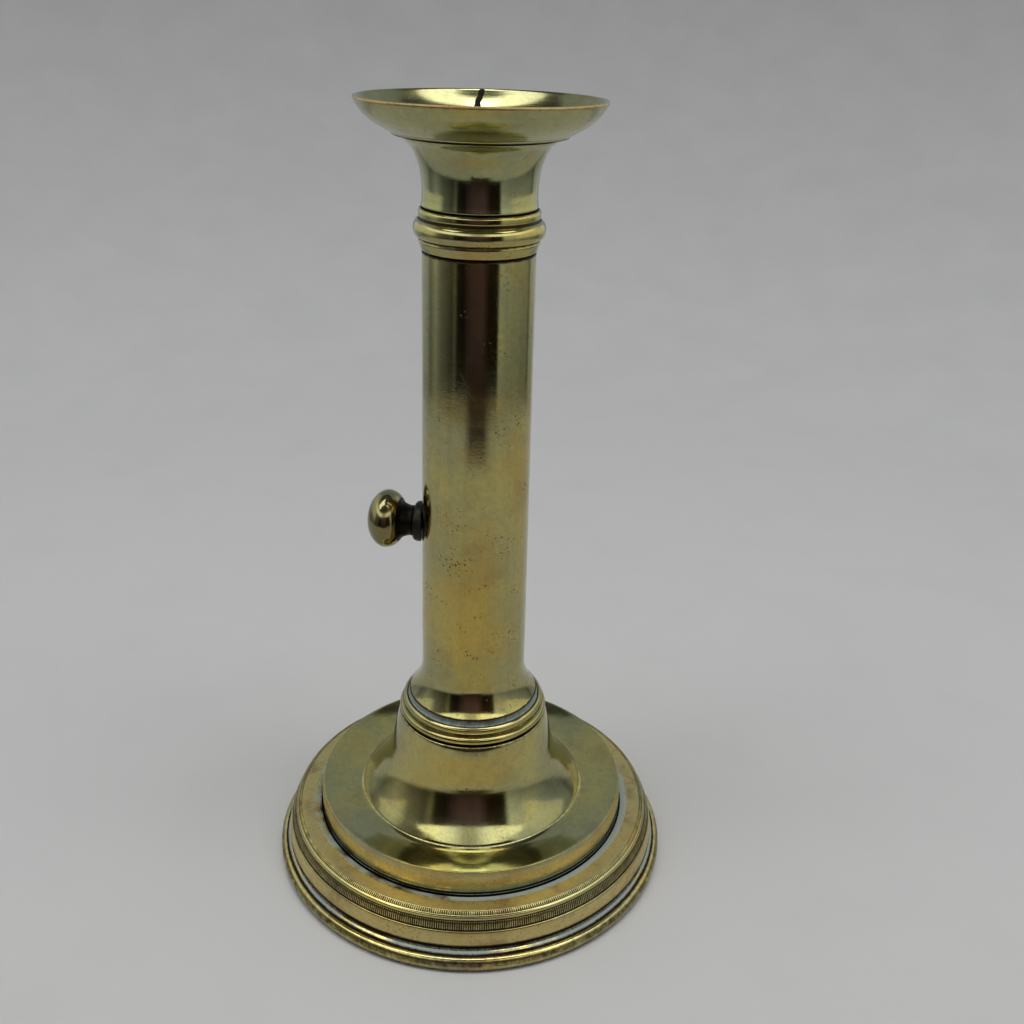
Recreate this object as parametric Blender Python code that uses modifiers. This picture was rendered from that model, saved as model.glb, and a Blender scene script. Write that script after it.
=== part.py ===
"""Brass candlestick with a side push knob, modelled as it comes apart on a bench.

A turned foot carries a dished dome, a moulded collar, a slotted stem, a second collar, a flared
neck and a drip pan, all on one vertical axis.  Inside the stem a plate on a strip carries the
candle, and a knob outside the slot moves it up and down.  The origin is on the stem's axis where
the foot rests; +Z is up and the knob stands out along -X.  Profiles are written in millimetres as
(radius, height) points and become metres where the mesh is made.
"""

import math

import bmesh
import bpy

MM = 0.001                # one millimetre in metres
GAP = 0.3                 # clearance kept between neighbouring pieces, mm
STEPS = 40                # facets round a large turned piece
SMALL_STEPS = 24          # facets round a small turned piece

# Stand, mm
HEIGHT = 196.0            # floor to the pan's rim
FOOT_RADIUS = 52.85       # widest bulge of the foot's bottom rim
LEDGE_Z = 14.1            # flat step on top of the foot ring
SEAT_Z = 13.2             # seat in the foot ring that carries the dome
DOME_RADIUS = 41.1        # upright wall round the dished dome
DOME_WALL = 1.6           # thickness of the dome casting
TRUMPET_TOP_Z = 41.9      # top of the trumpet, under the lower collar
BOLT_HOLE = 4.3           # radius of the hole for the bolt through the foot
COLLAR_TOP_Z = 47.9       # top of the lower collar
STEM_RADIUS = 13.4        # outside of the stem tube above its flared foot
STEM_TOP_RADIUS = 12.9    # outside of the stem tube under the upper collar
BORE_RADIUS = 11.6        # inside of the stem, the neck and the pan: a 22 mm candle
SKIRT_RADIUS = 16.9       # flared lower edge of the stem
STEM_TOP_Z = 163.6        # shoulder of the stem under the upper collar
JOINT_Z = 168.0           # where the stem's and the neck's spigots meet inside the upper collar
SPIGOT_RADIUS = 12.25     # outside of those spigots
NECK_BOTTOM_Z = 173.3     # shoulder of the neck on the upper collar
NECK_TOP_Z = 188.0        # flared top of the neck
PAN_RADIUS = 27.35        # rim of the drip pan
PAN_BASE_RADIUS = 19.5    # foot of the drip pan
PAN_WALL = 1.1            # thickness of the drip pan

# Pusher, mm, with the knob at its place at rest
KNOB_Z = 95.2             # height of the knob's axis
KNOB_RADIUS = 7.35        # half width of the knob's head
KNOB_TIP = 27.3           # end of the knob, from the stem's axis
KNOB_BACK = 15.55         # back of the knob's neck, from the stem's axis
TRAVEL_DOWN = 30.0        # how far the knob slides down from rest
TRAVEL_UP = 50.0          # how far it slides up, which brings the plate to the pan
SHANK_RADIUS = 2.0        # pin that joins the knob to the strip
PIN_CLEARANCE = 0.3       # radial clearance of pins in their holes
SLOT_WIDTH = 5.2          # slot in the stem
PLATE_Z = 134.2           # underside of the plate that the candle stands on
PLATE_WALL = 1.2
PLATE_RADIUS = 10.9
STRIP_RADIUS = 11.3       # outer face of the strip, which follows the bore
STRIP_WALL = 1.0
STRIP_HALF_ANGLE = 30.0   # degrees each side of -X
LUG_HEIGHT = 9.0          # tabs under the plate that the strip and the spring are riveted to
RIVET_RADIUS = 0.9

# Candle stub, mm
CANDLE_RADIUS = 10.9
CANDLE_TOP_Z = 190.5
WICK_TOP_Z = 197.3
WICK_RADIUS = 0.7

MODEL = "brass_candlestick"
CUTTERS = "cutters"


def clear_scene():
    """Remove every object that the file opened with."""
    for item in list(bpy.data.objects):
        bpy.data.objects.remove(item, do_unlink=True)


def collection(name):
    """Return the collection of this name, made in the scene if it is new."""
    found = bpy.data.collections.get(name)
    if found is None:
        found = bpy.data.collections.new(name)
        bpy.context.scene.collection.children.link(found)
    return found


def material(name, colour, roughness, metallic):
    """Return a Principled material, made once for each name."""
    made = bpy.data.materials.get(name)
    if made is None:
        made = bpy.data.materials.new(name)
        made.use_nodes = True
        shader = made.node_tree.nodes["Principled BSDF"]
        shader.inputs["Base Color"].default_value = (*colour, 1.0)
        shader.inputs["Roughness"].default_value = roughness
        shader.inputs["Metallic"].default_value = metallic
    return made


def polished_brass():
    return material("polished_brass", (0.60, 0.50, 0.22), 0.22, 1.0)


def dark_brass():
    return material("dark_brass", (0.16, 0.13, 0.08), 0.45, 1.0)


def iron():
    return material("iron", (0.18, 0.17, 0.16), 0.55, 1.0)


def wax():
    return material("wax", (0.86, 0.80, 0.66), 0.5, 0.0)


def charred_cotton():
    return material("charred_cotton", (0.02, 0.02, 0.02), 0.9, 0.0)


def add_object(name, data, finish, group=MODEL):
    """Make an object of this mesh or curve and put it in its collection."""
    item = bpy.data.objects.new(name, data)
    collection(group).objects.link(item)
    if finish is not None:
        data.materials.append(finish)
    return item


def arc(centre_r, centre_z, radius, start, end, points):
    """Points of an arc in the (radius, height) plane, angles in degrees from outwards."""
    angles = [math.radians(start + (end - start) * k / (points - 1)) for k in range(points)]
    return [(centre_r + radius * math.cos(a), centre_z + radius * math.sin(a)) for a in angles]


def turned(name, profile, finish, closed=False, steps=STEPS, group=MODEL):
    """Turn a profile about Z.  It runs down its outer side; a closed one comes back up inside."""
    mesh = bpy.data.meshes.new(name)
    points = [(radius * MM, 0.0, height * MM) for radius, height in profile]
    edges = [(k, k + 1) for k in range(len(points) - 1)]
    if closed:
        edges.append((len(points) - 1, 0))
    mesh.from_pydata(points, edges, [])
    item = add_object(name, mesh, finish, group)
    screw = item.modifiers.new("Turn", "SCREW")
    screw.axis = "Z"
    screw.angle = 2.0 * math.pi
    screw.steps = steps
    screw.render_steps = steps
    screw.use_merge_vertices = True
    screw.merge_threshold = 0.00001
    screw.use_smooth_shade = True
    return item


def thicken(item, wall):
    """Give an open turned surface its wall, inwards from the outer face."""
    shell = item.modifiers.new("Wall", "SOLIDIFY")
    shell.thickness = wall * MM
    shell.offset = -1.0
    shell.use_even_offset = True


def cut(item, cutter):
    """Cut a piece with a closed cutter, which is kept out of renders."""
    cutter.hide_render = True
    cutter.display_type = "WIRE"
    boolean = item.modifiers.new("Cut " + cutter.name, "BOOLEAN")
    boolean.operation = "DIFFERENCE"
    boolean.solver = "EXACT"
    boolean.object = cutter


def box(name, low, high, finish, group=MODEL):
    """A box between two corners given in millimetres."""
    shape = bmesh.new()
    bmesh.ops.create_cube(shape, size=1.0)
    for vertex in shape.verts:
        for axis in range(3):
            share = vertex.co[axis] + 0.5
            vertex.co[axis] = (low[axis] + (high[axis] - low[axis]) * share) * MM
    mesh = bpy.data.meshes.new(name)
    shape.to_mesh(mesh)
    shape.free()
    return add_object(name, mesh, finish, group)


def aim_along_x(item, height, sign):
    """Lay a turned piece's axis along X at a height, with its top pointing to sign times X."""
    item.rotation_euler = (0.0, sign * math.pi / 2.0, 0.0)
    item.location = (0.0, 0.0, height * MM)


def cross_pin_cutter(name, radius, height, near, far, sign=-1):
    """A round cutter lying along X, from near to far millimetres out from the axis."""
    profile = [(0.0, far), (radius, far), (radius, near), (0.0, near)]
    cutter = turned(name, profile, None, steps=16, group=CUTTERS)
    aim_along_x(cutter, height, sign)
    return cutter


def slot_cutter(name, low_z, high_z):
    """A cylinder along X stretched upwards into a slot with round ends, through the -X wall."""
    shape = bmesh.new()
    bmesh.ops.create_cone(shape, cap_ends=True, segments=16, radius1=SLOT_WIDTH / 2 * MM,
                          radius2=SLOT_WIDTH / 2 * MM, depth=8.0 * MM)
    reach = (high_z - low_z - SLOT_WIDTH) * MM
    for vertex in shape.verts:
        x, y, z = vertex.co
        lift = reach if x > 0.1 * MM else 0.0
        vertex.co = (z - STEM_RADIUS * MM, -y, x + lift + (low_z + SLOT_WIDTH / 2) * MM)
    mesh = bpy.data.meshes.new(name)
    shape.to_mesh(mesh)
    shape.free()
    return add_object(name, mesh, None, CUTTERS)


def make_foot_ring():
    """Outer ring of the foot: rim, cove, broad band, two milled bands with a bead, and a ledge."""
    outside = [(42.2, SEAT_Z), (42.4, 13.8), (43.3, 14.0), (46.5, LEDGE_Z), (47.5, 13.55)]
    outside += arc(47.65, 13.1, 0.6, 50, -40, 4)
    outside += [(48.4, 12.55), (48.75, 12.3), (49.35, 10.5), (49.6, 10.15), (49.9, 9.7), (50.25, 8.0),
                (50.3, 6.1), (49.9, 5.4), (50.4, 4.7), (51.1, 3.9)]
    outside += arc(51.15, 2.2, FOOT_RADIUS - 51.15, 60, -60, 5)
    inside = [(51.9, 0.0), (49.2, 0.0), (48.6, 2.5), (48.2, 8.5), (46.5, 11.4), (44.0, 11.9),
              (38.6, 11.9), (38.6, SEAT_Z)]
    turned("foot_ring", outside + inside, polished_brass(), closed=True)


def trumpet_profile():
    """Outer side of the dome from the trumpet's top down to the crease in the dish."""
    flare = [(19.8, 41.0), (20.4, 39.0), (21.0, 35.0), (21.8, 31.0)]
    bulge = [(23.0, 27.5), (24.6, 24.6), (26.4, 22.3), (28.0, 20.3), (29.0, 18.8)]
    return flare + bulge


def make_foot_dome():
    """Hollow casting of trumpet, dish and upright wall that stands in the foot ring."""
    outside = [(BOLT_HOLE, TRUMPET_TOP_Z), (19.3, TRUMPET_TOP_Z)] + trumpet_profile()
    outside += [(29.6, 18.2), (32.0, 18.2), (35.0, 18.6), (38.0, 19.35), (40.2, 20.1),
                (40.6, 19.9), (40.95, 17.5), (DOME_RADIUS, 15.0), (DOME_RADIUS, SEAT_Z + GAP)]
    thicken(turned("foot_dome", outside, polished_brass()), DOME_WALL)


def make_base_collar():
    """Moulded ring between the trumpet and the stem: groove, bead and fillet."""
    outside = [(16.3, COLLAR_TOP_Z), (16.3, 47.0), (17.3, 46.8)]
    outside += arc(17.4, 45.7, 1.1, 70, -60, 5)
    outside += [(18.0, 44.4), (19.2, 44.2), (19.5, 43.4), (19.4, 42.7), (19.0, TRUMPET_TOP_Z + GAP)]
    inside = [(BOLT_HOLE, TRUMPET_TOP_Z + GAP), (BOLT_HOLE, COLLAR_TOP_Z)]
    turned("base_collar", outside + inside, polished_brass(), closed=True)


def make_stem_tube():
    """Stem with a flared lower edge, a spigot on top and the slot for the knob's shank."""
    foot_z = COLLAR_TOP_Z + GAP
    outside = [(SPIGOT_RADIUS, JOINT_Z - GAP), (SPIGOT_RADIUS, STEM_TOP_Z), (STEM_TOP_RADIUS, STEM_TOP_Z),
               (STEM_RADIUS, 60.0), (13.6, 56.5), (14.2, 53.0), (15.4, 50.4), (SKIRT_RADIUS, 48.8),
               (SKIRT_RADIUS - 0.2, foot_z)]
    inside = [(BORE_RADIUS, foot_z), (BORE_RADIUS, JOINT_Z - GAP)]
    stem = turned("stem_tube", outside + inside, polished_brass(), closed=True)
    end_room = SLOT_WIDTH / 2 + 0.4
    cut(stem, slot_cutter("slot", KNOB_Z - TRAVEL_DOWN - end_room, KNOB_Z + TRAVEL_UP + end_room))


def make_stem_collar():
    """Ring of three mouldings that hides the joint between the stem and the neck."""
    top_z = NECK_BOTTOM_Z - GAP
    outside = [(13.3, top_z)] + arc(12.7, 171.9, 1.0, 55, -55, 5) + [(13.3, 170.9)]
    outside += arc(12.75, 168.6, 2.12, 62, -62, 9) + [(13.5, 166.5), (13.65, 165.9), (13.2, 164.4)]
    bottom_z = STEM_TOP_Z + GAP
    bore = SPIGOT_RADIUS + GAP
    inside = [(13.1, bottom_z), (bore, bottom_z), (bore, top_z)]
    turned("stem_collar", outside + inside, polished_brass(), closed=True)


def make_socket_neck():
    """Flared neck above the collar, bored for the candle, with a spigot into the collar."""
    flare = [(17.3, NECK_TOP_Z), (16.7, 187.3), (15.6, 186.5), (14.4, 184.8), (13.75, 183.1),
             (13.3, 181.4), (12.95, 179.4), (12.8, 176.8), (12.9, 174.6), (13.1, NECK_BOTTOM_Z)]
    spigot = [(SPIGOT_RADIUS, NECK_BOTTOM_Z), (SPIGOT_RADIUS, JOINT_Z)]
    inside = [(BORE_RADIUS, JOINT_Z), (BORE_RADIUS, NECK_TOP_Z)]
    turned("socket_neck", flare + spigot + inside, polished_brass(), closed=True)


def make_drip_pan():
    """Shallow spun pan on top of the neck, open in the middle for the candle."""
    base_z = NECK_TOP_Z + GAP
    outside = [(PAN_RADIUS - 0.1, HEIGHT), (PAN_RADIUS, 195.5), (26.9, 194.7), (25.9, 193.1),
               (24.3, 191.5), (22.0, 190.0), (20.3, 189.0), (PAN_BASE_RADIUS, 188.6),
               (19.2, base_z), (BORE_RADIUS + GAP, base_z)]
    thicken(turned("drip_pan", outside, polished_brass()), PAN_WALL)


def make_fixing():
    """Plug in the stem's foot, and the bolt, washer and nut that clamp the stand together."""
    plug_low, plug_high = COLLAR_TOP_Z + GAP, 55.0
    plug_radius = BORE_RADIUS - GAP
    turned("stem_plug", [(plug_radius, plug_high), (plug_radius, plug_low), (BOLT_HOLE, plug_low),
                         (BOLT_HOLE, plug_high)], dark_brass(), closed=True)
    head_low = plug_high + GAP
    turned("fixing_bolt", [(0.0, head_low + 2.8), (5.6, head_low + 2.8), (6.4, head_low + 2.0),
                           (6.4, head_low), (BOLT_HOLE - 0.4, head_low), (BOLT_HOLE - 0.4, 31.4),
                           (3.2, 30.6), (0.0, 30.6)], iron(), steps=SMALL_STEPS)
    washer_top = TRUMPET_TOP_Z - DOME_WALL - GAP
    turned("base_washer", [(13.5, washer_top), (14.0, washer_top - 1.4), (BOLT_HOLE, washer_top - 1.4),
                           (BOLT_HOLE, washer_top)], iron(), closed=True, steps=SMALL_STEPS)
    nut_top = washer_top - 1.4 - GAP
    turned("base_nut", [(7.0, nut_top), (7.6, nut_top - 0.6), (7.6, nut_top - 5.0), (4.8, nut_top - 5.0),
                        (4.8, nut_top)], iron(), closed=True, steps=6)


def make_knob():
    """Mushroom knob on its waisted neck, with a blind hole for the shank; its axis lies along -X."""
    crown = [(0.0, KNOB_TIP), (2.7, 27.05), (4.9, 26.15), (6.5, 24.7)]
    back = [(KNOB_RADIUS, 23.1), (7.1, 21.2), (6.1, 19.8), (4.7, 18.7), (4.05, 17.6), (3.8, 16.6),
            (3.85, KNOB_BACK)]
    hole = SHANK_RADIUS + PIN_CLEARANCE
    socket = [(hole, KNOB_BACK), (hole, 19.0), (0.0, 19.0)]
    aim_along_x(turned("pusher_knob", crown + back + socket, polished_brass(), steps=SMALL_STEPS),
                KNOB_Z, -1)


def make_knob_washer():
    """Saddle washer under the knob, hollowed to ride on the round stem."""
    hole = SHANK_RADIUS + PIN_CLEARANCE
    outer = KNOB_BACK - GAP
    ring = [(4.6, outer), (5.1, outer - 0.5), (5.1, 12.2), (hole, 12.2), (hole, outer)]
    washer = turned("knob_washer", ring, dark_brass(), closed=True, steps=SMALL_STEPS)
    aim_along_x(washer, KNOB_Z, -1)
    reach = 12.0
    profile = [(0.0, KNOB_Z + reach), (STEM_RADIUS + GAP, KNOB_Z + reach),
               (STEM_RADIUS + GAP, KNOB_Z - reach), (0.0, KNOB_Z - reach)]
    cut(washer, turned("saddle", profile, None, steps=2 * STEPS, group=CUTTERS))


def make_knob_shank():
    """Pin through the slot, from inside the knob to the rove behind the strip, and the rove."""
    inner_end = 7.9
    shank = [(0.0, 18.7), (SHANK_RADIUS, 18.7), (SHANK_RADIUS, inner_end), (0.0, inner_end)]
    aim_along_x(turned("knob_shank", shank, dark_brass(), steps=16), KNOB_Z, -1)
    hole = SHANK_RADIUS + PIN_CLEARANCE
    face = (STRIP_RADIUS - STRIP_WALL) * math.cos(math.radians(20.0)) - GAP
    rove = [(3.4, face), (3.4, face - 1.0), (hole, face - 1.0), (hole, face)]
    aim_along_x(turned("shank_rove", rove, dark_brass(), closed=True, steps=16), KNOB_Z, -1)


def make_push_strip():
    """Curved strip inside the bore that carries the plate from the knob's shank."""
    mesh = bpy.data.meshes.new("push_strip")
    shape = bmesh.new()
    low_z, high_z = KNOB_Z - 8.0, PLATE_Z - GAP
    columns, rows = 9, 2
    grid = []
    for row in range(rows):
        height = low_z + (high_z - low_z) * row / (rows - 1)
        line = []
        for column in range(columns):
            share = 2.0 * column / (columns - 1) - 1.0
            angle = math.pi + math.radians(STRIP_HALF_ANGLE) * share
            line.append(shape.verts.new((STRIP_RADIUS * MM * math.cos(angle),
                                         STRIP_RADIUS * MM * math.sin(angle), height * MM)))
        grid.append(line)
    for column in range(columns - 1):
        shape.faces.new((grid[0][column], grid[0][column + 1], grid[1][column + 1], grid[1][column]))
    shape.to_mesh(mesh)
    shape.free()
    strip = add_object("push_strip", mesh, polished_brass())
    thicken(strip, STRIP_WALL)
    cut(strip, cross_pin_cutter("shank_hole", SHANK_RADIUS + PIN_CLEARANCE, KNOB_Z, 6.0, 14.0))
    for height in rivet_heights():
        cut(strip, cross_pin_cutter("strip_hole", RIVET_RADIUS + PIN_CLEARANCE, height, 9.5, 14.0))


def rivet_heights():
    """Heights of the two rivets that hold the strip to the plate's lug."""
    return (PLATE_Z - 6.6, PLATE_Z - 3.0)


def lug_span():
    """How far from the axis the lugs' inner and outer faces are."""
    outer = 9.1
    return (outer - 1.0, outer)


def make_candle_plate():
    """Round plate under the candle, with two lugs bent down for the strip and the spring."""
    plate = turned("candle_plate", [(0.0, PLATE_Z + PLATE_WALL), (PLATE_RADIUS, PLATE_Z + PLATE_WALL),
                                    (PLATE_RADIUS, PLATE_Z), (0.0, PLATE_Z)], dark_brass())
    near, far = lug_span()
    for side, sign in (("left", -1), ("right", 1)):
        faces = sorted((sign * near, sign * far))
        lug = box("lug_" + side, (faces[0], -3.5, PLATE_Z - LUG_HEIGHT),
                  (faces[1], 3.5, PLATE_Z + PLATE_WALL / 2), None, CUTTERS)
        lug.hide_render = True
        lug.display_type = "WIRE"
        join = plate.modifiers.new("Join " + side, "BOOLEAN")
        join.operation = "UNION"
        join.solver = "EXACT"
        join.object = lug
    hole = RIVET_RADIUS + PIN_CLEARANCE
    for height in rivet_heights():
        cut(plate, cross_pin_cutter("lug_hole", hole, height, near - 1.0, far + 1.0))
    cut(plate, cross_pin_cutter("spring_hole", hole, spring_rivet_height(), near - 1.0, far + 1.0, 1))


def spring_rivet_height():
    """Height of the single rivet that holds the spring leaf."""
    return PLATE_Z - 4.8


def make_rivets():
    """Rivets with one domed head on the inside of each lug."""
    near = lug_span()[0]
    head = near - GAP
    strip_end = STRIP_RADIUS - 0.1
    leaf_end = 10.35
    places = [("plate_rivet_lower", rivet_heights()[0], strip_end, -1),
              ("plate_rivet_upper", rivet_heights()[1], strip_end, -1),
              ("spring_rivet", spring_rivet_height(), leaf_end, 1)]
    for name, height, end, sign in places:
        profile = [(0.0, end), (RIVET_RADIUS, end), (RIVET_RADIUS, head), (1.6, head), (1.3, head - 0.6),
                   (0.0, head - 0.9)]
        aim_along_x(turned(name, profile, dark_brass(), steps=12), height, sign)


def make_spring_leaf():
    """Bowed leaf opposite the knob that presses on the bore, so the pusher stays where it is put."""
    high_z = PLATE_Z - 0.8
    length = 44.0
    inner_x = lug_span()[1] + GAP
    bow = 0.85
    straight = 9.0
    half_width = 3.2
    count = 12
    mesh = bpy.data.meshes.new("spring_leaf")
    shape = bmesh.new()
    previous = None
    for k in range(count + 1):
        down = length * k / count
        share = max(0.0, down - straight) / (length - straight)
        x = inner_x + bow * math.sin(math.pi * share)
        pair = [shape.verts.new((x * MM, side * half_width * MM, (high_z - down) * MM)) for side in (-1, 1)]
        if previous:
            shape.faces.new((previous[0], pair[0], pair[1], previous[1]))
        previous = pair
    shape.to_mesh(mesh)
    shape.free()
    leaf = add_object("spring_leaf", mesh, polished_brass())
    wall = leaf.modifiers.new("Wall", "SOLIDIFY")
    wall.thickness = 0.6 * MM
    wall.offset = 1.0
    cut(leaf, cross_pin_cutter("leaf_hole", RIVET_RADIUS + PIN_CLEARANCE, spring_rivet_height(),
                               8.6, 12.0, 1))


def make_candle():
    """Burnt-down stub with a melted hollow round its wick, and the charred, leaning wick."""
    low_z = PLATE_Z + PLATE_WALL + GAP
    well = WICK_RADIUS + 0.6
    stub = [(well, CANDLE_TOP_Z - 2.2), (5.0, CANDLE_TOP_Z - 1.9), (8.6, CANDLE_TOP_Z - 1.0),
            (10.2, CANDLE_TOP_Z), (CANDLE_RADIUS, CANDLE_TOP_Z - 0.7), (CANDLE_RADIUS, low_z), (0.0, low_z)]
    blind_hole = [(0.0, CANDLE_TOP_Z - 6.0), (well, CANDLE_TOP_Z - 6.0)]
    turned("candle_stub", blind_hole + stub, wax(), steps=STEPS)
    path = bpy.data.curves.new("wick", "CURVE")
    path.dimensions = "3D"
    path.bevel_depth = WICK_RADIUS * MM
    path.bevel_resolution = 2
    path.use_fill_caps = True
    spline = path.splines.new("POLY")
    points = wick_points()
    spline.points.add(len(points) - 1)
    for place, point in zip(points, spline.points):
        point.co = (place[0] * MM, place[1] * MM, place[2] * MM, 1.0)
    add_object("wick", path, charred_cotton())


def wick_points():
    """Centre line of the wick: upright in the wax, then bowed towards -X with its tip back at +X."""
    low_z = CANDLE_TOP_Z - 5.6
    wax_z = CANDLE_TOP_Z - 2.2
    bow, tip_lean = 1.05, 0.2
    count = 10
    points = []
    for k in range(count):
        height = low_z + (WICK_TOP_Z - low_z) * k / (count - 1)
        share = max(0.0, height - wax_z) / (WICK_TOP_Z - wax_z)
        points.append((tip_lean * share - bow * math.sin(math.pi * share), 0.0, height))
    return points


def main():
    clear_scene()
    make_foot_ring()
    make_foot_dome()
    make_base_collar()
    make_stem_tube()
    make_stem_collar()
    make_socket_neck()
    make_drip_pan()
    make_fixing()
    make_knob()
    make_knob_washer()
    make_knob_shank()
    make_push_strip()
    make_candle_plate()
    make_rivets()
    make_spring_leaf()
    make_candle()


main()
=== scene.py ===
"""Looks of a brass push-up candlestick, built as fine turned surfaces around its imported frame."""
import logging
import math
from dataclasses import dataclass
from enum import Enum
from typing import Any

import bpy
import numpy as np
from mathutils import Matrix, Vector


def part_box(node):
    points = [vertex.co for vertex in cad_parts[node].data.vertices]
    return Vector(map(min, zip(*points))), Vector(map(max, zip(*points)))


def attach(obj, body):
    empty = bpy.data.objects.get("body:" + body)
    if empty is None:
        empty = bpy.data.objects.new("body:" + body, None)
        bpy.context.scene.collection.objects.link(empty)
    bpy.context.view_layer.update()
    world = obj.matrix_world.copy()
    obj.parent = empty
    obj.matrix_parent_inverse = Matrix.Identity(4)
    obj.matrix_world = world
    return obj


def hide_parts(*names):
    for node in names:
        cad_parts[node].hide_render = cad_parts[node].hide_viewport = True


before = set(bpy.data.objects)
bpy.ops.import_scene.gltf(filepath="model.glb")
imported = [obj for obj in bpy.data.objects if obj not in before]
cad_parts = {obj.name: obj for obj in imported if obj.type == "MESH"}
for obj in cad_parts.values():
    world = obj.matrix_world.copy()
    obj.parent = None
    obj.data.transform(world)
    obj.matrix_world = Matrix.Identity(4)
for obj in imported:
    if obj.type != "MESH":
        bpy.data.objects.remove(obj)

LOG = logging.getLogger("candlestick")
MM = 0.001
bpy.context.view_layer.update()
NodeSocket = bpy.types.NodeSocket
Material = bpy.types.Material
Piece = bpy.types.Object
COLUMNS = ("radius", "height", "rounding", "grime", "residue", "rub")
SURFACE_MARKS = COLUMNS[3:]
SHARP_EDGE = math.radians(50.0)         # edges bent more than this are shaded sharp
DOUBLED = 1e-6                          # points closer than this are merged, m


class Body(Enum):
    """Bodies that a piece rides on."""

    STAND = "stand"
    PUSHER = "pusher"
    CANDLE = "candle"


class Grain(Enum):
    """Direction that polishing marks run in, seen from the axis that the piece is turned about."""

    UPRIGHT = "z"
    CROSSWISE = "x"


# Colours and materials


def linear(code: str) -> tuple[float, float, float, float]:
    """Turn an sRGB hex colour into a linear colour.

    Args:
        code: six hex digits, without a hash.

    Returns:
        Linear red, green and blue, and an alpha of one.
    """
    channels = [int(code[k:k + 2], 16) / 255.0 for k in (0, 2, 4)]
    return (*[c / 12.92 if c <= 0.04045 else ((c + 0.055) / 1.055) ** 2.4 for c in channels], 1.0)


class Paint:
    """A node material while it is built up."""

    def __init__(self, name: str) -> None:
        """Start an empty material and read its Object coordinates.

        Args:
            name: the material's name.
        """
        self.material = bpy.data.materials.new(name)
        self.material.use_nodes = True
        self.material.node_tree.nodes.clear()
        self.place = self.add("TexCoord", {}, "Object")

    def add(self, kind: str, inputs: dict, out: int | str = 0, **settings: Any) -> NodeSocket | None:
        """Add one node with its settings, constant sockets and links.

        Args:
            kind: the node's type name without its ShaderNode prefix.
            inputs: socket name or index to a constant, or to another node's output.
            out: the output that is wanted.
            settings: the node's own properties.

        Returns:
            The wanted output, or nothing for the material's own output node.
        """
        tree = self.material.node_tree
        node = tree.nodes.new("ShaderNode" + kind)
        for name, value in settings.items():
            setattr(node, name, value)
        for key, value in inputs.items():
            if isinstance(value, NodeSocket):
                tree.links.new(value, node.inputs[key])
            else:
                node.inputs[key].default_value = value
        return node.outputs[out] if len(node.outputs) else None

    def patches(self, noise: NodeSocket, low: float, high: float, other: Any = 0.0, share: float = 0.0) -> NodeSocket:
        """Cover that grows smoothly from none to full as a noise passes from low to high.

        Args:
            noise: the noise.
            low: where the cover starts.
            high: where it is full.
            other: a second noise that is added to the first.
            share: how much of it is added.

        Returns:
            The cover, from 0 to 1.
        """
        both = self.add("Math", {0: other, 1: share, 2: noise}, operation="MULTIPLY_ADD")
        return self.add("MapRange", {"Value": both, "From Min": low, "From Max": high},
                        interpolation_type="SMOOTHSTEP")

    def mark(self, name: str, breakup: NodeSocket, low: float, high: float) -> NodeSocket:
        """Cover of one of the mesh's surface marks, its edge made ragged by a noise.

        Args:
            name: the mark.
            breakup: the noise.
            low: where the cover starts.
            high: where it is full.

        Returns:
            The cover, from 0 to 1.
        """
        uneven = self.add("Math", {0: breakup, 1: 0.5})
        value = self.add("Attribute", {}, "Fac", attribute_name=name)
        return self.patches(self.add("Math", {0: value, 1: uneven}, operation="MULTIPLY"), low, high)

    def weighed(self, parts: tuple[tuple[Any, float], ...], start: Any = 0.0) -> NodeSocket:
        """Sum of each part times its weight, on top of a starting value."""
        for part, weight in parts:
            start = self.add("Math", {0: part, 1: weight, 2: start}, operation="MULTIPLY_ADD")
        return start

    def finish(self, shader: NodeSocket) -> Material:
        """Join the shader to the material's output and give the material."""
        self.add("OutputMaterial", {"Surface": shader})
        return self.material


# Surfaces as functions of two parameters


def rounded_outline(corners: list[tuple[float, ...]], closed: bool, steps: int = 5) -> np.ndarray:
    """Round each corner of an outline with a quadratic curve.

    The curve leaves one edge and joins the next at the rounding distance from the corner, or at half
    the edge where that is shorter: Q(t) = (1-t)^2 A + 2 t (1-t) P + t^2 B.

    Args:
        corners: rows of COLUMNS, in millimetres; the marks that a row leaves out are nought.
        closed: whether the last corner joins the first.
        steps: points along each rounded corner.

    Returns:
        Rows of radius, height, grime, residue and rub.
    """
    table = np.array([(*row, *(0.0,) * (len(COLUMNS) - len(row))) for row in corners])
    point = table[:, :2]
    before, after = np.roll(point, 1, axis=0), np.roll(point, -1, axis=0)
    if not closed:
        before[0], after[-1] = point[0], point[-1]
    back, ahead = before - point, after - point
    back_length = np.maximum(np.linalg.norm(back, axis=1, keepdims=True), 1e-9)
    ahead_length = np.maximum(np.linalg.norm(ahead, axis=1, keepdims=True), 1e-9)
    reach = np.minimum(table[:, 2:3], 0.5 * np.minimum(back_length, ahead_length))
    if not closed:
        reach[[0, -1]] = 0.0
    start = (point + back / back_length * reach)[:, None, :]
    end = (point + ahead / ahead_length * reach)[:, None, :]
    t = np.linspace(0.0, 1.0, steps)[None, :, None]
    curve = (1 - t) ** 2 * start + 2 * t * (1 - t) * point[:, None, :] + t ** 2 * end
    marks = np.broadcast_to(table[:, None, 3:], (len(table), steps, table.shape[1] - 3))
    rows = np.concatenate([curve, marks], axis=2).reshape(-1, table.shape[1] - 1)
    step = np.linalg.norm(np.diff(rows[:, :2], axis=0), axis=1)
    return rows[np.r_[True, step > 1e-4]]


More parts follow.
